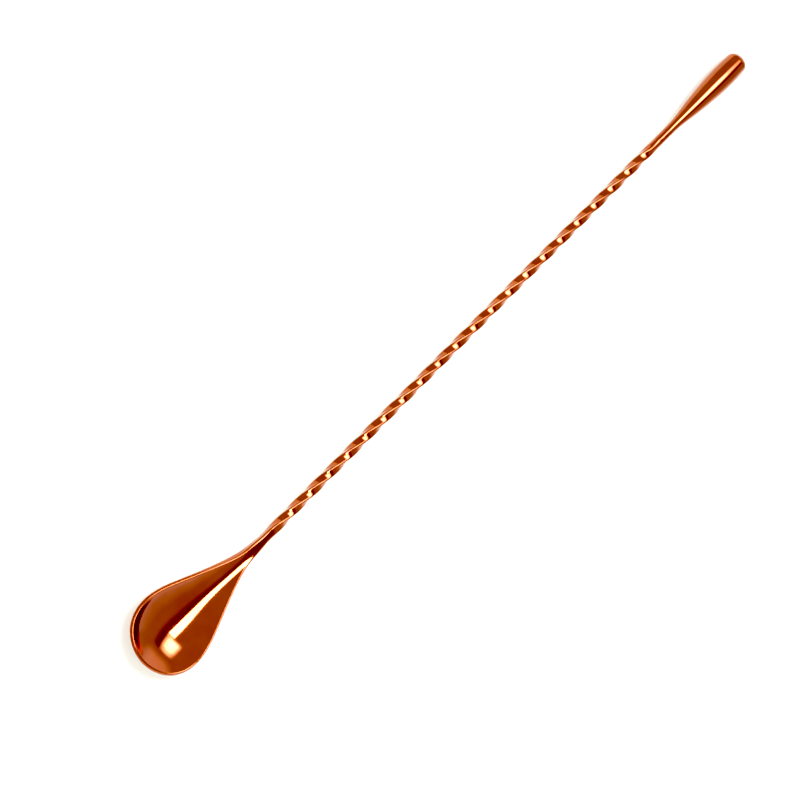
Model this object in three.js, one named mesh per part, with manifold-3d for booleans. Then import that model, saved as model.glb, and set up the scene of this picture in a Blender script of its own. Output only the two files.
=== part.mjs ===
// Teardrop bar spoon, lying on a flat surface. Millimetres, +Z up.
// +X runs from the bowl's tip to the blunt end of the weight, z = 0 is the surface it lies on,
// and the origin is under the middle of its overall length.
//
// It is built as the real one is: a stamped bowl with a square neck, a square bar that is
// twisted right-handed, and a solid turned weight. The bar has a round spigot at each end,
// brazed into a blind socket in the neck and in the weight.

import * as THREE from 'three';
import { mergeVertices } from 'three/addons/utils/BufferGeometryUtils.js';
import Module from 'manifold-3d';

const wasm = await Module();
wasm.setup();

// ---- driving dimensions ------------------------------------------------------------------

const OVERALL_LENGTH = 335; // bowl tip to the weight's flat end

const SHEET = 1.5; // thickness of the bowl's metal
const RIM_HEIGHT = 6.5; // middle of the rim's edge above the surface
const RIM_EDGE_RADIUS = 0.35; // polished round on both sides of the rim
const NECK_END = 61.5; // bowl tip to the joint with the bar
const NECK_HALF_WIDTH = 1.65;
const NECK_HALF_HEIGHT = 1.6;
const NECK_CORNER_RADIUS = 0.85;
const DEEPEST = 15; // bowl tip to the deepest point of the bowl
const TROUGH_GAIN = 1.1; // how much more sharply the bowl curves across near the neck
// Distances from the bowl's tip where it changes into the neck.
const TROUGH_FULL = 50; // the sharpest curve across, and the end of the spine
const DISH_RUNS_OUT_FROM = 48;
const SHEET_THICKENS_FROM = 34;
const EDGE_SOFTENS_FROM = 38;
const NECK_FORMED = 60.5;

// Half-width of the bowl's outline, at distances from its tip.
const OUTLINE = [
  [0, 0],
  [4, 10.6],
  [9, 14.05],
  [15, 15.1],
  [21, 14.15],
  [28, 11.55],
  [36, 8.15],
  [44, 5],
  [50, 3.1],
  [56, 2.15],
  [NECK_END, NECK_HALF_WIDTH],
];

const BAR_HALF_WIDTH = 1.65; // across the flats, halved
const BAR_CORNER_RADIUS = 0.6;
const SHANK_RADIUS = 1.92; // plain round stretch beside the weight
const QUARTER_TURN = 9.978; // length of bar in which the square turns by 90 degrees
const TWIST_START = 2.2; // neck joint to the start of the twist
const TWIST_RAMP = 6; // length in which the twist builds up to its full rate
const SQUARE_UNTIL = 213; // neck joint to where the square starts to turn into the shank
const SHANK_FROM = 222; // neck joint to where it is round

const WEIGHT_START = 229; // neck joint to the weight's thin end
const WEIGHT_NOSE_RADIUS = 1.92;
const WEIGHT_NOSE_CHAMFER = 0.15;
const WEIGHT_END_FLAT = 1.7; // radius of the flat on the blunt end
const WEIGHT_END_ROUND = 2.8; // radius of the round between the flat and the side
// Radius of the weight at distances from its thin end.
const WEIGHT_SIDE = [
  [0.3, WEIGHT_NOSE_RADIUS],
  [5, 2.12],
  [12, 2.98],
  [19, 3.78],
  [26, 4.42],
  [31.5, 4.7],
  [36, 4.73],
];
const WIDEST = WEIGHT_SIDE[WEIGHT_SIDE.length - 1];

const JOINT_GAP = 0.1; // clearance between pieces that meet
const NECK_SPIGOT = { radius: 0.8, length: 7 };
const WEIGHT_SPIGOT = { radius: 1.1, length: 12 };
const BRAZE_THICKNESS = { neck: 0.14, weight: 0.2 };
const SOCKET_OVERCUT = 2; // how far the neck's drilled socket runs out of the neck's end

const ROUND_SIDES = 32; // sides of a turned surface
const FRONT_RIBS = 10; // ribs from the bowl's tip to its widest place
const TAIL_RIBS = 22; // ribs from there to the neck joint
const RIB_STEPS = 7; // from the bowl's spine to the start of the rim's round
const RIM_STEPS = 3; // round each side of the rim
const STEPS_PER_QUARTER = 5; // sections in each quarter turn of the bar
const BAR_CORNER_STEPS = 3;
const WEIGHT_SIDE_STEPS = 22;
const WEIGHT_ROUND_STEPS = 6;

const COPPER = 0xa8501f;
const BRAZE = 0xc9b48a;

// ---- curves ------------------------------------------------------------------------------

// Natural cubic spline through [x, y] points, as a function of x.
function spline(points) {
  const n = points.length;
  const x = points.map((p) => p[0]);
  const y = points.map((p) => p[1]);
  const bend = new Array(n).fill(0);
  const upper = new Array(n).fill(0);
  for (let i = 1; i < n - 1; i += 1) {
    const left = x[i] - x[i - 1];
    const right = x[i + 1] - x[i];
    const turn = (y[i + 1] - y[i]) / right - (y[i] - y[i - 1]) / left;
    const pivot = 2 * (left + right) - left * upper[i - 1];
    upper[i] = right / pivot;
    bend[i] = (6 * turn - left * bend[i - 1]) / pivot;
  }
  for (let i = n - 2; i > 0; i -= 1) {
    bend[i] -= upper[i] * bend[i + 1];
  }
  return (at) => {
    let i = 0;
    while (i < n - 2 && at > x[i + 1]) i += 1;
    const h = x[i + 1] - x[i];
    const a = (x[i + 1] - at) / h;
    const b = (at - x[i]) / h;
    const curved = ((a ** 3 - a) * bend[i] + (b ** 3 - b) * bend[i + 1]) * (h * h) / 6;
    return a * y[i] + b * y[i + 1] + curved;
  };
}

// ---- meshes ------------------------------------------------------------------------------

// Closed surface from equal rings of points, with a fan on each end.
function loft(rings) {
  const count = rings[0].length;
  const positions = [];
  const faces = [];
  const centreOf = (ring) => ring.reduce((sum, p) => sum.add(p), new THREE.Vector3()).divideScalar(count);
  for (const ring of rings) {
    for (const p of ring) positions.push(p.x, p.y, p.z);
  }
  for (let i = 0; i + 1 < rings.length; i += 1) {
    for (let j = 0; j < count; j += 1) {
      const a = i * count + j;
      const b = i * count + ((j + 1) % count);
      faces.push(a, b, b + count, a, b + count, a + count);
    }
  }
  const first = rings.length * count;
  const last = first + 1;
  const lastRing = first - count;
  positions.push(...centreOf(rings[0]), ...centreOf(rings[rings.length - 1]));
  for (let j = 0; j < count; j += 1) {
    const k = (j + 1) % count;
    faces.push(first, k, j, last, lastRing + j, lastRing + k);
  }
  const geometry = new THREE.BufferGeometry();
  geometry.setAttribute('position', new THREE.Float32BufferAttribute(positions, 3));
  geometry.setIndex(faces);
  return geometry;
}

// Merges vertices that coincide and drops the triangles that this closes up.
function weld(geometry) {
  const bare = geometry.clone();
  bare.deleteAttribute('normal');
  bare.deleteAttribute('uv');
  const merged = mergeVertices(bare, 1e-5);
  const index = merged.getIndex().array;
  const kept = [];
  for (let i = 0; i < index.length; i += 3) {
    const [a, b, c] = [index[i], index[i + 1], index[i + 2]];
    if (a !== b && b !== c && c !== a) kept.push(a, b, c);
  }
  merged.setIndex(kept);
  return merged;
}

function toSolid(geometry) {
  const welded = weld(geometry);
  const vertProperties = new Float32Array(welded.getAttribute('position').array);
  const triVerts = new Uint32Array(welded.getIndex().array);
  return new wasm.Manifold(new wasm.Mesh({ numProp: 3, vertProperties, triVerts }));
}

function toGeometry(solid) {
  const { vertProperties, triVerts } = solid.getMesh();
  const geometry = new THREE.BufferGeometry();
  geometry.setAttribute('position', new THREE.Float32BufferAttribute(vertProperties, 3));
  geometry.setIndex([...triVerts]);
  return geometry;
}

// Solid turned about the X axis from [x, radius] points, which start and end on the axis.
function turned(profile) {
  const points = profile.map(([x, radius]) => new THREE.Vector2(radius, x));
  return new THREE.LatheGeometry(points, ROUND_SIDES).rotateZ(-Math.PI / 2);
}

function metal(color, roughness) {
  return new THREE.MeshStandardMaterial({ color, roughness, metalness: 1 });
}

function named(name, geometry, material) {
  const mesh = new THREE.Mesh(geometry, material);
  mesh.name = name;
  return mesh;
}

// ---- bowl --------------------------------------------------------------------------------

const halfWidthSquared = spline(OUTLINE.map(([x, y]) => [x, y * y]));
const { lerp, smoothstep, smootherstep: rise } = THREE.MathUtils;
const sheetHalf = (x) => lerp(SHEET / 2, NECK_HALF_HEIGHT, rise(x, SHEET_THICKENS_FROM, NECK_FORMED));
const edgeRadius = (x) => lerp(RIM_EDGE_RADIUS, NECK_CORNER_RADIUS, rise(x, EDGE_SOFTENS_FROM, NECK_FORMED));

// The middle of the sheet is a parabola across the spoon at every x, so that the bowl is
// one smooth dish. The curvature grows towards the neck, and runs out in it.
const gain = (x) => 1 + TROUGH_GAIN * rise(x, DEEPEST, TROUGH_FULL);
const shape = (x) => gain(x) * (1 - rise(x, DISH_RUNS_OUT_FROM, NECK_FORMED));
const middleDepth = RIM_HEIGHT - SHEET / 2;
let deepest = 0;
for (let x = 0; x < NECK_END; x += 0.1) {
  deepest = Math.max(deepest, shape(x) * halfWidthSquared(x));
}
const middleZ = (x, y) => RIM_HEIGHT - (middleDepth / deepest) * shape(x) * (halfWidthSquared(x) - y * y);

function offMiddle(x, y, height) {
  const step = 0.01;
  const slopeX = (middleZ(x + step, y) - middleZ(x - step, y)) / (2 * step);
  const slopeY = (middleZ(x, y + step) - middleZ(x, y - step)) / (2 * step);
  const normal = new THREE.Vector3(-slopeX, -slopeY, 1).normalize();
  return new THREE.Vector3(x, y, middleZ(x, y)).addScaledVector(normal, height);
}

// One rib of the bowl: from the spine out over the top to the rim, round the rim's edge and
// back underneath. It fans round the deepest point at the front and lies across the neck.
function rib(x, side) {
  const spine = TROUGH_FULL - DEEPEST;
  const along = Math.max(0, x - DEEPEST) / spine;
  const foot = DEEPEST + spine * along * smoothstep(along, 0, 1);
  const width = Math.sqrt(Math.max(0, halfWidthSquared(x)));
  const reach = Math.hypot(x - foot, width);
  const half = sheetHalf(x);
  const radius = edgeRadius(x);
  const outline = [];
  for (let i = 0; i < RIB_STEPS; i += 1) {
    outline.push([(reach - radius) * (i / RIB_STEPS), 1, 0]);
  }
  for (let i = 0; i <= RIM_STEPS; i += 1) {
    const angle = (Math.PI / 2) * (i / RIM_STEPS);
    outline.push([reach - radius * (1 - Math.sin(angle)), 1, -radius * (1 - Math.cos(angle))]);
  }
  const under = outline.map(([u, sign, drop]) => [u, -sign, -drop]).reverse();
  return [...outline, ...under].map(([u, sign, drop]) => {
    const px = foot + (x - foot) * (u / reach);
    const py = side * width * (u / reach);
    const height = u < reach - radius ? sign * sheetHalf(px) : sign * half + drop;
    return offMiddle(px, py, height);
  });
}

function bowlShell() {
  const stations = [];
  for (let i = 0; i < FRONT_RIBS; i += 1) {
    stations.push(DEEPEST * (1 - Math.cos((Math.PI / 2) * (i / FRONT_RIBS))));
  }
  for (let i = 0; i <= TAIL_RIBS; i += 1) {
    stations.push(DEEPEST + (NECK_END - DEEPEST) * (i / TAIL_RIBS));
  }
  const right = stations.map((x) => rib(x, 1)).reverse();
  const left = stations.slice(1).map((x) => rib(x, -1));
  const ribs = [...right, ...left];
  const count = ribs[0].length;
  const positions = ribs.flat().flatMap((p) => [p.x, p.y, p.z]);
  const faces = [];
  for (let i = 0; i + 1 < ribs.length; i += 1) {
    for (let j = 0; j + 1 < count; j += 1) {
      const a = i * count + j;
      const b = a + count;
      faces.push(a, a + 1, b + 1, a, b + 1, b);
    }
  }
  // The neck's end: the first rib and the last one, closed by a fan about its centre.
  const centre = positions.length / 3;
  const lastRib = (ribs.length - 1) * count;
  positions.push(NECK_END, 0, RIM_HEIGHT);
  for (let j = 0; j + 1 < count; j += 1) {
    faces.push(centre, j + 1, j, centre, lastRib + j, lastRib + j + 1);
  }
  const geometry = new THREE.BufferGeometry();
  geometry.setAttribute('position', new THREE.Float32BufferAttribute(positions, 3));
  geometry.setIndex(faces);
  return geometry;
}

// ---- twisted bar -------------------------------------------------------------------------

// Square with round corners, in the YZ plane at x, turned right-handed about X.
function squareSection(x, halfWidth, cornerRadius, turn) {
  const points = [];
  const core = halfWidth - cornerRadius;
  for (let corner = 0; corner < 4; corner += 1) {
    const quarter = (Math.PI / 2) * corner;
    const centreY = core * Math.SQRT2 * Math.cos(quarter + Math.PI / 4);
    const centreZ = core * Math.SQRT2 * Math.sin(quarter + Math.PI / 4);
    for (let i = 0; i <= BAR_CORNER_STEPS; i += 1) {
      const angle = quarter + (Math.PI / 2) * (i / BAR_CORNER_STEPS);
      const y = centreY + cornerRadius * Math.cos(angle);
      const z = centreZ + cornerRadius * Math.sin(angle);
      points.push(new THREE.Vector3(x, y, z).applyAxisAngle(new THREE.Vector3(1, 0, 0), turn));
    }
  }
  return points;
}

function turnAt(x) {
  const rate = Math.PI / 2 / QUARTER_TURN;
  const past = Math.max(0, x - TWIST_START);
  if (past < TWIST_RAMP) return (rate * past * past) / (2 * TWIST_RAMP);
  return rate * (past - TWIST_RAMP / 2);
}

function barSection(x) {
  const toBar = rise(x, 0, TWIST_START + TWIST_RAMP);
  const toShank = rise(x, SQUARE_UNTIL, SHANK_FROM);
  const startWidth = lerp(NECK_HALF_HEIGHT, BAR_HALF_WIDTH, toBar);
  const startRadius = lerp(NECK_CORNER_RADIUS, BAR_CORNER_RADIUS, toBar);
  const halfWidth = lerp(startWidth, SHANK_RADIUS, toShank);
  const radius = lerp(startRadius, SHANK_RADIUS, toShank);
  return squareSection(x, halfWidth, radius, turnAt(x));
}

function barGeometry() {
  const from = JOINT_GAP;
  const to = WEIGHT_START - JOINT_GAP;
  const steps = Math.round(((to - from) / QUARTER_TURN) * STEPS_PER_QUARTER);
  const spigot = (x, radius, turn) => squareSection(x, radius, radius, turn);
  const rings = [
    spigot(-NECK_SPIGOT.length, NECK_SPIGOT.radius, 0),
    spigot(from, NECK_SPIGOT.radius, 0),
  ];
  for (let i = 0; i <= steps; i += 1) {
    rings.push(barSection(from + (to - from) * (i / steps)));
  }
  rings.push(spigot(to, WEIGHT_SPIGOT.radius, turnAt(to)));
  rings.push(spigot(WEIGHT_START + WEIGHT_SPIGOT.length, WEIGHT_SPIGOT.radius, turnAt(to)));
  return weld(loft(rings));
}

// ---- weight and joints -------------------------------------------------------------------

const socketRadius = (spigot, braze) => spigot.radius + 2 * JOINT_GAP + braze;

function weightGeometry() {
  const length = OVERALL_LENGTH - RIM_EDGE_OVERHANG - NECK_END - WEIGHT_START;
  const bore = socketRadius(WEIGHT_SPIGOT, BRAZE_THICKNESS.weight);
  const depth = WEIGHT_SPIGOT.length + JOINT_GAP;
  const side = spline([...WEIGHT_SIDE, [length - WEIGHT_END_ROUND, WEIGHT_END_FLAT + WEIGHT_END_ROUND]]);
  const profile = [
    [depth, 0],
    [depth, bore],
    [0, bore],
    [0, WEIGHT_NOSE_RADIUS - WEIGHT_NOSE_CHAMFER],
  ];
  for (let i = 0; i < WEIGHT_SIDE_STEPS; i += 1) {
    const x = WEIGHT_SIDE[0][0] + (length - WEIGHT_END_ROUND - WEIGHT_SIDE[0][0]) * (i / WEIGHT_SIDE_STEPS);
    profile.push([x, side(x)]);
  }
  for (let i = 0; i <= WEIGHT_ROUND_STEPS; i += 1) {
    const angle = (Math.PI / 2) * (i / WEIGHT_ROUND_STEPS);
    const x = length - WEIGHT_END_ROUND * (1 - Math.sin(angle));
    profile.push([x, WEIGHT_END_FLAT + WEIGHT_END_ROUND * Math.cos(angle)]);
  }
  profile.push([length, 0]);
  return turned(profile);
}

// Tube of brazing metal between a spigot and its socket.
function brazeGeometry(spigot, thickness, from, to) {
  const inner = spigot.radius + JOINT_GAP;
  const outer = inner + thickness;
  return turned([
    [from, inner],
    [from, outer],
    [to, outer],
    [to, inner],
    [from, inner],
  ]);
}

// ---- assembly ----------------------------------------------------------------------------

// The rim's edge is square to the dish's wall, so it overhangs the outline at the tip.
const RIM_EDGE_OVERHANG = -Math.min(...rib(0, 1).map((p) => p.x));
const droop = Math.asin((RIM_HEIGHT - WIDEST[1]) / (WEIGHT_START + WIDEST[0]));

// The bar's own frame starts at the neck joint and slopes down to rest on the weight.
const barFrame = new THREE.Group();
barFrame.position.set(NECK_END, 0, RIM_HEIGHT);
barFrame.rotation.y = droop;
barFrame.updateMatrix();

const neckBore = socketRadius(NECK_SPIGOT, BRAZE_THICKNESS.neck);
const neckSocket = turned([
  [-NECK_SPIGOT.length - JOINT_GAP, 0],
  [-NECK_SPIGOT.length - JOINT_GAP, neckBore],
  [SOCKET_OVERCUT, neckBore],
  [SOCKET_OVERCUT, 0],
]).applyMatrix4(barFrame.matrix);
const bowlSolid = toSolid(bowlShell()).subtract(toSolid(neckSocket));

const bowl = named('bowl', toGeometry(bowlSolid), metal(COPPER, 0.12));
const shaft = named('twisted_shaft', barGeometry(), metal(COPPER, 0.12));
const weight = named('drop_weight', weightGeometry(), metal(COPPER, 0.12));
weight.position.x = WEIGHT_START;

const neckBraze = named(
  'neck_braze',
  brazeGeometry(NECK_SPIGOT, BRAZE_THICKNESS.neck, -NECK_SPIGOT.length, -JOINT_GAP),
  metal(BRAZE, 0.4),
);
const weightBraze = named(
  'weight_braze',
  brazeGeometry(WEIGHT_SPIGOT, BRAZE_THICKNESS.weight, JOINT_GAP, WEIGHT_SPIGOT.length - JOINT_GAP),
  metal(BRAZE, 0.4),
);
weightBraze.position.x = WEIGHT_START;

barFrame.add(shaft, weight, neckBraze, weightBraze);

const spoon = new THREE.Group();
spoon.position.x = RIM_EDGE_OVERHANG - OVERALL_LENGTH / 2;
spoon.add(bowl, barFrame);

const scene = new THREE.Group();
scene.add(spoon);

export default scene;
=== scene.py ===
import math

import bpy
import numpy as np
from mathutils import Matrix, Vector


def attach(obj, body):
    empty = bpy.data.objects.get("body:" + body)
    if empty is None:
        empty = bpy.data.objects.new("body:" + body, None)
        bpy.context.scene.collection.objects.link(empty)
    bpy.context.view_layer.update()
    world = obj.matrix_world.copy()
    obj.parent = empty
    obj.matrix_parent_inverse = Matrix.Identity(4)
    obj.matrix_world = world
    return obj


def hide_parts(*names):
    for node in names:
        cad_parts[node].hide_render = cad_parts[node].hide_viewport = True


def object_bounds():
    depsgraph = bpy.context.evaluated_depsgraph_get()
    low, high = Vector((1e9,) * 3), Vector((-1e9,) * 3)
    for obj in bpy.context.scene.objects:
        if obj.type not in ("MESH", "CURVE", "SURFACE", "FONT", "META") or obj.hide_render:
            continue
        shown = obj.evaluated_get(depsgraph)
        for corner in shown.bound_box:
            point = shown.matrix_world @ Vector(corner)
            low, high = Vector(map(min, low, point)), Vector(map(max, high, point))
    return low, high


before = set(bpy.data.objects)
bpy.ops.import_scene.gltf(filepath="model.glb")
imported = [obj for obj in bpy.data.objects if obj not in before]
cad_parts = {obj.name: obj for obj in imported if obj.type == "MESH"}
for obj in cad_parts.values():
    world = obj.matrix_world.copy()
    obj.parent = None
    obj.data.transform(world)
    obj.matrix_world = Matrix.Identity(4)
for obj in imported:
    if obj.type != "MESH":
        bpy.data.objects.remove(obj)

CAD_LOW, CAD_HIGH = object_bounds()

# ---- the spoon's dimensions, in millimetres, as the CAD has them ---------------------------
# Lengths along the spoon are from the bowl's tip, or from the neck joint for the bar and weight.

OVERALL_LENGTH = 335
SHEET = 1.5
RIM_HEIGHT = 6.5
RIM_EDGE_RADIUS = 0.35
NECK_END = 61.5
NECK_HALF_WIDTH = 1.65
NECK_HALF_HEIGHT = 1.6
NECK_CORNER_RADIUS = 0.85
DEEPEST = 15
TROUGH_GAIN = 1.1
TROUGH_FULL = 50
DISH_RUNS_OUT_FROM = 48
SHEET_THICKENS_FROM = 34
EDGE_SOFTENS_FROM = 38
NECK_FORMED = 60.5
OUTLINE = [  # distance from the tip, half-width
    (0, 0), (4, 10.6), (9, 14.05), (15, 15.1), (21, 14.15), (28, 11.55),
    (36, 8.15), (44, 5), (50, 3.1), (56, 2.15), (NECK_END, NECK_HALF_WIDTH),
]

BAR_HALF_WIDTH = 1.65
BAR_CORNER_RADIUS = 0.6
SHANK_RADIUS = 1.92
QUARTER_TURN = 9.978
TWIST_START = 2.2
TWIST_RAMP = 6
SQUARE_UNTIL = 213
SHANK_FROM = 222

WEIGHT_START = 229
WEIGHT_NOSE_RADIUS = 1.92
WEIGHT_END_FLAT = 1.7
WEIGHT_END_ROUND = 2.8
WEIGHT_SIDE = [  # distance from the thin end, radius
    (0.3, WEIGHT_NOSE_RADIUS), (5, 2.12), (12, 2.98), (19, 3.78),
    (26, 4.42), (31.5, 4.7), (36, 4.73),
]

SEAM = 0.04  # gap left at each end of the bar, narrower than the CAD's
WEIGHT_NOSE_ROUND = 0.06  # where the CAD has a chamfer
NECK_SPIGOT = (0.8, 7)  # radius, length
NECK_SOCKET = (1.14, 7.1)  # radius, depth
WEIGHT_SPIGOT = (1.1, 12)
WEIGHT_SOCKET = (1.5, 12.1)

MM = 0.001

# ---- how finely the pieces are cut -----------------------------------------------------------

SHARP_FROM = math.radians(50)  # edges that bend more than this stay sharp
WELD = 1e-5  # points closer than this are one point
FRONT_RIBS = 48  # from the bowl's tip to its deepest point
TAIL_RIBS = 121  # from there to the neck joint
BAR_SECTIONS = 840
WEIGHT_SIDES = 112
WEIGHT_RINGS = 90
WEIGHT_END_RINGS = 14

# ---- curves ----------------------------------------------------------------------------------


def spline(points):
    """Natural cubic spline through (x, y) points, as a function of an array of x."""
    x, y = np.array(points, float).T
    n, h = len(x), np.diff(x)
    rows, bends = np.eye(n), np.zeros(n)
    for i in range(1, n - 1):
        rows[i, i - 1:i + 2] = h[i - 1], 2 * (h[i - 1] + h[i]), h[i]
        bends[i] = 6 * ((y[i + 1] - y[i]) / h[i] - (y[i] - y[i - 1]) / h[i - 1])
    bend = np.linalg.solve(rows, bends)

    def at(s):
        s = np.asarray(s, float)
        i = np.clip(np.searchsorted(x, s, side="right") - 1, 0, n - 2)
        a, b = (x[i + 1] - s) / h[i], (s - x[i]) / h[i]
        curved = ((a**3 - a) * bend[i] + (b**3 - b) * bend[i + 1]) * h[i] ** 2 / 6
        return a * y[i] + b * y[i + 1] + curved

    return at


def rise(x, start, end):
    """0 before start, 1 after end, with no kink in slope or curvature."""
    t = np.clip((x - start) / (end - start), 0, 1)
    return t * t * t * (t * (t * 6 - 15) + 10)


def lerp(a, b, t):
    return a + (b - a) * t


# ---- meshes ----------------------------------------------------------------------------------


def metal_piece(name, points, faces, node):
    """A smooth piece from points in millimetres in the row frame, in place of a CAD node."""
    mesh = bpy.data.meshes.new(name)
    mesh.from_pydata([tuple(p) for p in points * MM], [], faces)
    mesh.validate()
    mesh.shade_smooth()
    mesh.set_sharp_from_angle(angle=SHARP_FROM)
    piece = bpy.data.objects.new(name, mesh)
    bpy.context.scene.collection.objects.link(piece)
    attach(piece, "root")
    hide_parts(node)
    return piece


def loft(rings):
    """Points and faces of a closed skin over equal rings, with a flat end on each end."""
    rings = np.asarray(rings)
    count, size = rings.shape[0], rings.shape[1]
    faces = []
    for i in range(count - 1):
        for j in range(size):
            a, b = i * size + j, i * size + (j + 1) % size
            faces.append((a, b, b + size, a + size))
    faces.append(tuple(range(size - 1, -1, -1)))
    faces.append(tuple((count - 1) * size + j for j in range(size)))
    return rings.reshape(-1, 3), faces


# ---- the bowl --------------------------------------------------------------------------------

half_width_squared = spline([(x, y * y) for x, y in OUTLINE])


def shape(x):
    """How sharply the sheet curves across at x, against its curve at the bowl's front."""
    gain = 1 + TROUGH_GAIN * rise(x, DEEPEST, TROUGH_FULL)
    return gain * (1 - rise(x, DISH_RUNS_OUT_FROM, NECK_FORMED))


along_bowl = np.arange(0, NECK_END, 0.1)
DISH = (RIM_HEIGHT - SHEET / 2) / np.max(shape(along_bowl) * half_width_squared(along_bowl))


def middle_z(x, y):
    """Height of the middle of the bowl's sheet."""
    return RIM_HEIGHT - DISH * shape(x) * (half_width_squared(x) - y * y)


def off_middle(x, y, height):
    """The point at that height off the middle of the sheet, square to it."""
    step = 0.01
    slope_x = (middle_z(x + step, y) - middle_z(x - step, y)) / (2 * step)
    slope_y = (middle_z(x, y + step) - middle_z(x, y - step)) / (2 * step)
    normal = np.stack([-slope_x, -slope_y, np.ones_like(slope_x)], -1)
    normal /= np.linalg.norm(normal, axis=-1, keepdims=True)
    return np.stack([x, y, middle_z(x, y)], -1) + normal * height[..., None]


def sheet_half(x):
    return lerp(SHEET / 2, NECK_HALF_HEIGHT, rise(x, SHEET_THICKENS_FROM, NECK_FORMED))


def edge_radius(x):
    return lerp(RIM_EDGE_RADIUS, NECK_CORNER_RADIUS, rise(x, EDGE_SOFTENS_FROM, NECK_FORMED))


def ribs(x, side, flats=26, corners=8):
    """Ribs at stations x: from the spine over the top, round the rim and back underneath."""
    spine = TROUGH_FULL - DEEPEST
    along = np.maximum(0, x - DEEPEST) / spine
    eased = np.clip(along, 0, 1)
    foot = DEEPEST + spine * along * eased * eased * (3 - 2 * eased)
    width = np.sqrt(np.maximum(0, half_width_squared(x)))
    reach, radius = np.hypot(x - foot, width), edge_radius(x)
    flat = [((reach - radius) * i / flats, None) for i in range(flats)]
    for i in range(corners + 1):
        angle = math.pi / 2 * i / corners
        flat.append((reach - radius * (1 - math.sin(angle)), -radius * (1 - math.cos(angle))))
    points = []
    for sign, row in ((1, flat), (-1, flat[::-1])):
        for u, drop in row:
            px = foot + (x - foot) * u / reach
            py = side * width * u / reach
            half = sheet_half(px) if drop is None else sheet_half(x) + drop
            points.append(off_middle(px, py, sign * half))
    return np.stack(points, 1)


def bowl_skin():
    """Points and faces of the bowl, with the blind socket in the end of its neck."""
    front = DEEPEST * (1 - np.cos(math.pi / 2 * np.arange(FRONT_RIBS) / FRONT_RIBS))
    tail = np.linspace(DEEPEST, NECK_END, TAIL_RIBS)
    stations = np.concatenate([front, tail])
    grid = np.concatenate([ribs(stations, 1)[::-1], ribs(stations, -1)[1:]])
    rows, size = grid.shape[:2]
    _, first, index = np.unique(
        np.round(grid.reshape(-1, 3) / WELD).astype(np.int64), axis=0,
        return_index=True, return_inverse=True,
    )
    points = list(grid.reshape(-1, 3)[first])
    index = index.reshape(rows, size)
    faces = []
    for i in range(rows - 1):
        for j in range(size - 1):
            corners = (index[i, j], index[i, j + 1], index[i + 1, j + 1], index[i + 1, j])
            kept = tuple(int(c) for c in dict.fromkeys(corners))
            if len(kept) > 2:
                faces.append(kept)
    # The neck's end: a ring round the blind socket, and the socket's wall and floor.
    mouth = [int(i) for i in index[0]] + [int(i) for i in index[-1][-2:0:-1]]
    radius, depth = NECK_SOCKET
    droop = np.array([math.cos(DROOP), 0, -math.sin(DROOP)])
    loops = [mouth]
    for back in (0, depth):
        loop = []
        for i in mouth:
            angle = math.atan2(points[i][2] - RIM_HEIGHT, points[i][1])
            round_it = np.array([0, radius * math.cos(angle), radius * math.sin(angle)])
            loop.append(len(points))
            points.append(np.array([NECK_END, 0, RIM_HEIGHT]) + round_it - droop * back)
        loops.append(loop)
    for outer, inner in zip(loops, loops[1:]):
        for j in range(len(outer)):
            k = (j + 1) % len(outer)
            faces.append((outer[k], outer[j], inner[j], inner[k]))
    faces.append(tuple(loops[-1][::-1]))
    return np.array(points), faces


WIDEST = WEIGHT_SIDE[-1]
DROOP = math.asin((RIM_HEIGHT - WIDEST[1]) / (WEIGHT_START + WIDEST[0]))  # of the bar, to its rest
OVERHANG = -ribs(np.array([0.0]), 1)[..., 0].min()  # of the rim's edge, past the middle at the tip


def to_row(points):
    """From distances along the spoon to the row frame, whose origin is at mid-length."""
    return points + np.array([OVERHANG - OVERALL_LENGTH / 2, 0, 0])


def from_bar(points):
    """From the bar's own sloping frame, which starts at the neck joint."""
    x, y, z = points[..., 0], points[..., 1], points[..., 2]
    c, s = math.cos(DROOP), math.sin(DROOP)
    return to_row(np.stack([NECK_END + x * c + z * s, y, RIM_HEIGHT - x * s + z * c], -1))


# ---- the twisted bar -------------------------------------------------------------------------


def turn_at(x):
    """The bar's twist at x, which builds up to its full rate over the ramp."""
    rate = math.pi / 2 / QUARTER_TURN
    past = max(0, x - TWIST_START)
    if past < TWIST_RAMP:
        return rate * past * past / (2 * TWIST_RAMP)
    return rate * (past - TWIST_RAMP / 2)


def square_section(x, half_width, radius, turn, per_corner=8, per_flat=5):
    """Square with round corners in the YZ plane at x, turned right-handed about X."""
    core = half_width - radius
    ring = []
    for corner in range(4):
        quarter = math.pi / 2 * corner
        centre = core * math.sqrt(2) * np.array(
            [math.cos(quarter + math.pi / 4), math.sin(quarter + math.pi / 4)])
        for i in range(per_corner + 1):
            angle = quarter + math.pi / 2 * i / per_corner
            ring.append(centre + radius * np.array([math.cos(angle), math.sin(angle)]))
        ahead = quarter + math.pi / 2
        along = 2 * core * np.array([math.cos(ahead + math.pi / 2), math.sin(ahead + math.pi / 2)])
        start = ring[-1]
        for i in range(1, per_flat):
            ring.append(start + along * i / per_flat)
    y, z = np.array(ring).T
    c, s = math.cos(turn), math.sin(turn)
    return np.stack([np.full_like(y, x), y * c - z * s, y * s + z * c], -1)


def bar_section(x):
    to_bar = rise(x, 0, TWIST_START + TWIST_RAMP)
    to_shank = rise(x, SQUARE_UNTIL, SHANK_FROM)
    half_width = lerp(lerp(NECK_HALF_HEIGHT, BAR_HALF_WIDTH, to_bar), SHANK_RADIUS, to_shank)
    radius = lerp(lerp(NECK_CORNER_RADIUS, BAR_CORNER_RADIUS, to_bar), SHANK_RADIUS, to_shank)
    return square_section(x, half_width, min(radius, half_width), turn_at(x))


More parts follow.
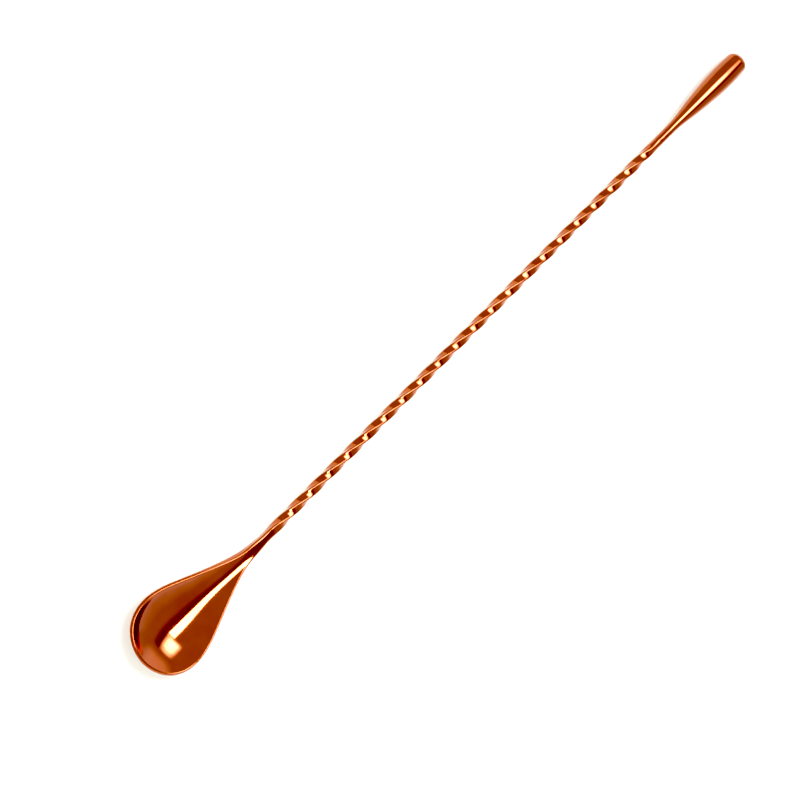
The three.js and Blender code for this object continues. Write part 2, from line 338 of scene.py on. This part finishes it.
def bar_skin():
    start, end = SEAM, WEIGHT_START - SEAM
    spigots = [
        square_section(x, radius, radius, turn)
        for x, radius, turn in (
            (-NECK_SPIGOT[1], NECK_SPIGOT[0], 0),
            (start, NECK_SPIGOT[0], 0),
            (end, WEIGHT_SPIGOT[0], turn_at(end)),
            (WEIGHT_START + WEIGHT_SPIGOT[1], WEIGHT_SPIGOT[0], turn_at(end)),
        )
    ]
    body = [bar_section(x) for x in np.linspace(start, end, BAR_SECTIONS)]
    points, faces = loft(spigots[:2] + body + spigots[2:])
    return from_bar(points), faces


# ---- the weight ------------------------------------------------------------------------------


def weight_skin():
    """Points and faces of the turned weight, from the floor of its socket to its blunt end."""
    length = OVERALL_LENGTH - OVERHANG - NECK_END - WEIGHT_START
    side = spline([*WEIGHT_SIDE, (length - WEIGHT_END_ROUND, WEIGHT_END_FLAT + WEIGHT_END_ROUND)])
    radius, depth = WEIGHT_SOCKET
    nose = WEIGHT_NOSE_ROUND
    profile = [(depth, radius), (0, radius), (0, WEIGHT_NOSE_RADIUS - nose)]
    for angle in (math.pi / 6, math.pi / 3):
        profile.append((nose * (1 - math.cos(angle)),
                        WEIGHT_NOSE_RADIUS - nose * (1 - math.sin(angle))))
    for x in np.linspace(WEIGHT_SIDE[0][0], length - WEIGHT_END_ROUND, WEIGHT_RINGS)[:-1]:
        profile.append((x, side(x)))
    for angle in np.linspace(0, math.pi / 2, WEIGHT_END_RINGS):
        profile.append((length - WEIGHT_END_ROUND * (1 - math.sin(angle)),
                        WEIGHT_END_FLAT + WEIGHT_END_ROUND * math.cos(angle)))
    for share in (0.7, 0.4):
        profile.append((length, WEIGHT_END_FLAT * share))
    rings = []
    around = np.arange(WEIGHT_SIDES) * 2 * math.pi / WEIGHT_SIDES
    for x, r in profile:
        along = np.full(WEIGHT_SIDES, WEIGHT_START + x)
        rings.append(np.stack([along, r * np.cos(around), r * np.sin(around)], -1))
    points, faces = loft(rings)
    return from_bar(points), faces


bowl_points, bowl_faces = bowl_skin()
bowl = metal_piece("bowl_visual", to_row(bowl_points), bowl_faces, "bowl")
shaft = metal_piece("twisted_shaft_visual", *bar_skin(), "twisted_shaft")
weight = metal_piece("drop_weight_visual", *weight_skin(), "drop_weight")

# ---- materials -------------------------------------------------------------------------------


def node(tree, kind, **settings):
    """A new node, with values for its inputs or its own properties."""
    made = tree.nodes.new(kind)
    for name, value in settings.items():
        if name in made.inputs.keys():
            made.inputs[name].default_value = value
        else:
            setattr(made, name, value)
    return made


def plated_metal(name, colours, roughness, marks, lacquer):
    """Metal with a cloudy tone and fine marks that change its gloss and its surface.

    colours and roughness are (least, most), and marks is how fine the marks are along X, Y and Z.
    """
    material = bpy.data.materials.new(name)
    material.use_nodes = True
    tree = material.node_tree
    link = tree.links.new
    shader = tree.nodes["Principled BSDF"]
    shader.inputs["Metallic"].default_value = 1
    shader.inputs["Coat Weight"].default_value = lacquer
    shader.inputs["Coat Roughness"].default_value = 0.03
    place = node(tree, "ShaderNodeTexCoord")
    cloud = node(tree, "ShaderNodeTexNoise", Scale=90, Detail=4, Roughness=0.6)
    link(place.outputs["Object"], cloud.inputs["Vector"])
    tone = node(tree, "ShaderNodeValToRGB")
    tone.color_ramp.elements[0].position = 0.35
    tone.color_ramp.elements[1].position = 0.68
    tone.color_ramp.elements[0].color = (*colours[0], 1)
    tone.color_ramp.elements[1].color = (*colours[1], 1)
    link(cloud.outputs["Fac"], tone.inputs["Fac"])
    link(tone.outputs["Color"], shader.inputs["Base Color"])

    stretch = node(tree, "ShaderNodeMapping")
    stretch.inputs["Scale"].default_value = marks
    link(place.outputs["Object"], stretch.inputs["Vector"])
    lines = node(tree, "ShaderNodeTexNoise", Scale=1, Detail=3, Roughness=0.7)
    link(stretch.outputs["Vector"], lines.inputs["Vector"])
    gloss = node(tree, "ShaderNodeMapRange", **{
        "From Min": 0.3, "From Max": 0.7, "To Min": roughness[0], "To Max": roughness[1]})
    link(lines.outputs["Fac"], gloss.inputs["Value"])
    link(gloss.outputs["Result"], shader.inputs["Roughness"])
    bump = node(tree, "ShaderNodeBump", Strength=0.06, Distance=0.00003)
    link(lines.outputs["Fac"], bump.inputs["Height"])
    link(bump.outputs["Normal"], shader.inputs["Normal"])
    return material


copper = plated_metal(
    "polished_copper_plate",
    colours=((0.42, 0.09, 0.022), (0.48, 0.115, 0.034)),
    roughness=(0.06, 0.12),
    marks=(300, 1800, 1800),
    lacquer=1,
)
braze = plated_metal(
    "brazing_brass",
    colours=((0.58, 0.42, 0.2), (0.7, 0.53, 0.28)),
    roughness=(0.3, 0.45),
    marks=(1200, 1200, 1200),
    lacquer=0,
)
for piece in (bowl, shaft, weight):
    piece.data.materials.append(copper)
for name in ("neck_braze", "weight_braze"):
    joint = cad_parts[name]
    joint.data.materials.clear()
    joint.data.materials.append(braze)

# ---- floor and light -------------------------------------------------------------------------

FLOOR_HALF = 3
FLOOR_COLOUR = (0.71, 0.73, 0.68, 1)
FLOOR_CLEARANCE = 0.00002  # below the spoon, so that the two don't touch


def flat_mesh(name, corners):
    """A staged four-sided sheet with a material of its own, and that material's nodes."""
    mesh = bpy.data.meshes.new(name)
    mesh.from_pydata(corners, [], [(0, 1, 2, 3)])
    flat = bpy.data.objects.new(name, mesh)
    bpy.context.scene.collection.objects.link(flat)
    material = bpy.data.materials.new(name)
    material.use_nodes = True
    flat.data.materials.append(material)
    return flat, material.node_tree


def plain_floor():
    h = FLOOR_HALF
    floor, tree = flat_mesh("floor", [(-h, -h, 0), (h, -h, 0), (h, h, 0), (-h, h, 0)])
    shader = tree.nodes["Principled BSDF"]
    shader.inputs["Base Color"].default_value = FLOOR_COLOUR
    shader.inputs["Roughness"].default_value = 0.9
    shader.inputs["Specular IOR Level"].default_value = 0
    floor.location.z = min(CAD_LOW.z, 0) - FLOOR_CLEARANCE


def overhead(name, height, x, y, radiance):
    """A level light facing down: x and y are its edges as slopes from the middle of the spoon."""
    data = bpy.data.lights.new(name, "AREA")
    data.shape = "RECTANGLE"
    data.size = height * (x[1] - x[0])
    data.size_y = height * (y[1] - y[0])
    data.energy = radiance * math.pi * data.size * data.size_y
    data.use_shadow = False
    light = bpy.data.objects.new(name, data)
    bpy.context.scene.collection.objects.link(light)
    light.location = (height * sum(x) / 2, height * sum(y) / 2, height)
    light.visible_camera = False


def share_along(tree, place, stops):
    """How much of its glow a card has at a place across it, eased through (place, share) stops."""
    ramp = node(tree, "ShaderNodeValToRGB")
    ramp.color_ramp.interpolation = "EASE"
    elements = ramp.color_ramp.elements
    while len(elements) < len(stops):
        elements.new(0.5)
    for element, (at, share) in zip(elements, stops):
        element.position = at
        element.color = (share, share, share, 1)
    tree.links.new(place, ramp.inputs["Fac"])
    return ramp.outputs["Color"]


def glow_card(name, low, high, strength, ramps):
    """An upright or level card that glows from strength[0] to strength[1].

    ramps gives the stops of the glow along two of the axes, by their numbers.
    """
    flat = [i for i in range(3) if low[i] == high[i]][0]
    a, b = [i for i in range(3) if i != flat]
    corners = []
    for u, v in ((0, 0), (1, 0), (1, 1), (0, 1)):
        corner = list(low)
        corner[a], corner[b] = (low[a], high[a])[u], (low[b], high[b])[v]
        corners.append(corner)
    card, tree = flat_mesh(name, corners)
    link = tree.links.new
    tree.nodes.remove(tree.nodes["Principled BSDF"])
    place = node(tree, "ShaderNodeTexCoord")
    split = node(tree, "ShaderNodeSeparateXYZ")
    link(place.outputs["Generated"], split.inputs["Vector"])
    share = node(tree, "ShaderNodeMath", operation="MULTIPLY")
    for factor, (axis, stops) in zip(share.inputs, ramps.items()):
        link(share_along(tree, split.outputs[axis], stops), factor)
    level = node(tree, "ShaderNodeMapRange", **{"To Min": strength[0], "To Max": strength[1]})
    link(share.outputs["Value"], level.inputs["Value"])
    glow = node(tree, "ShaderNodeEmission")
    link(level.outputs["Result"], glow.inputs["Strength"])
    link(glow.outputs["Emission"], tree.nodes["Material Output"].inputs["Surface"])
    card.visible_camera = False
    card.visible_shadow = False


AMBIENT = 0.73
KEY = 13
KEY_HEIGHT = 1.5
DIM_HEIGHT = 1.45  # just below the key
BLACK_LEVEL = 0.075  # what the picture shows as black

plain_floor()
overhead("key", KEY_HEIGHT, x=(-0.5, 0.2), y=(-0.2, 0.08), radiance=KEY)
glow_card("broad_key", (0.15, -0.35, KEY_HEIGHT), (1.5, 0.8, KEY_HEIGHT), (AMBIENT, KEY),
          {0: [(0, 0), (0.2, 1), (0.5, 0.85), (0.7, 0.35), (1, 0)],
           1: [(0, 0), (0.45, 1), (0.6, 1), (1, 0)]})
glow_card("dim_beside_key", (-1.1, -1.1, DIM_HEIGHT), (1.6, -0.3, DIM_HEIGHT), (AMBIENT, 0.34),
          {0: [(0, 0), (0.15, 1), (0.85, 1), (1, 0)], 1: [(0, 0), (0.75, 1)]})
glow_card("low_side", (-1.5, -1.9, 0), (1.8, -1.9, 1.5), (AMBIENT, 1.2),
          {0: [(0, 0), (0.2, 1), (0.8, 1), (1, 0)], 2: [(0, 1), (0.25, 0.4), (0.9, 0)]})
glow_card("low_end", (2.2, -1.5, 0), (2.2, 1.2, 1.9), (AMBIENT, 1.35),
          {1: [(0, 0), (0.35, 1), (0.65, 1), (1, 0)], 2: [(0, 1), (0.45, 1), (1, 0)]})
world = bpy.data.worlds.new("studio")
bpy.context.scene.world = world
world.use_nodes = True
world.node_tree.nodes["Background"].inputs["Color"].default_value = (AMBIENT, AMBIENT, AMBIENT, 1)

view_settings = bpy.context.scene.view_settings
view_settings.view_transform = "Standard"
view_settings.look = "None"
view_settings.use_curve_mapping = True
view_settings.curve_mapping.black_level = (BLACK_LEVEL, BLACK_LEVEL, BLACK_LEVEL)
view_settings.curve_mapping.update()

# ---- camera ----------------------------------------------------------------------------------
# High up, beyond the bowl and to its left, with the spoon across the picture's diagonal.

LEAN_BACK = math.radians(20)  # from straight down, towards the bowl's tip
LEAN_SIDE = math.radians(20.47)  # from straight down, towards +Y
ROLL = math.radians(45.08)
DISTANCE = 0.978  # from the camera to what it aims at
AIM = Vector((-0.03196, 0.00043, 0.006))
LENS = 121.23

back = Vector((-math.sin(LEAN_BACK), math.sin(LEAN_SIDE) * math.cos(LEAN_BACK), 0))
back.z = math.sqrt(1 - back.x**2 - back.y**2)
across = (Vector((1, 0, 0)) - back * back.x).normalized()
upward = back.cross(across)
right = across * math.cos(ROLL) - upward * math.sin(ROLL)
up = across * math.sin(ROLL) + upward * math.cos(ROLL)
camera_data = bpy.data.cameras.new("camera")
camera_data.lens = LENS
camera_data.sensor_width = 36
camera = bpy.data.objects.new("camera", camera_data)
bpy.context.scene.collection.objects.link(camera)
camera.matrix_world = Matrix((
    (right.x, up.x, back.x, AIM.x + back.x * DISTANCE),
    (right.y, up.y, back.y, AIM.y + back.y * DISTANCE),
    (right.z, up.z, back.z, AIM.z + back.z * DISTANCE),
    (0, 0, 0, 1),
))
bpy.context.scene.camera = camera
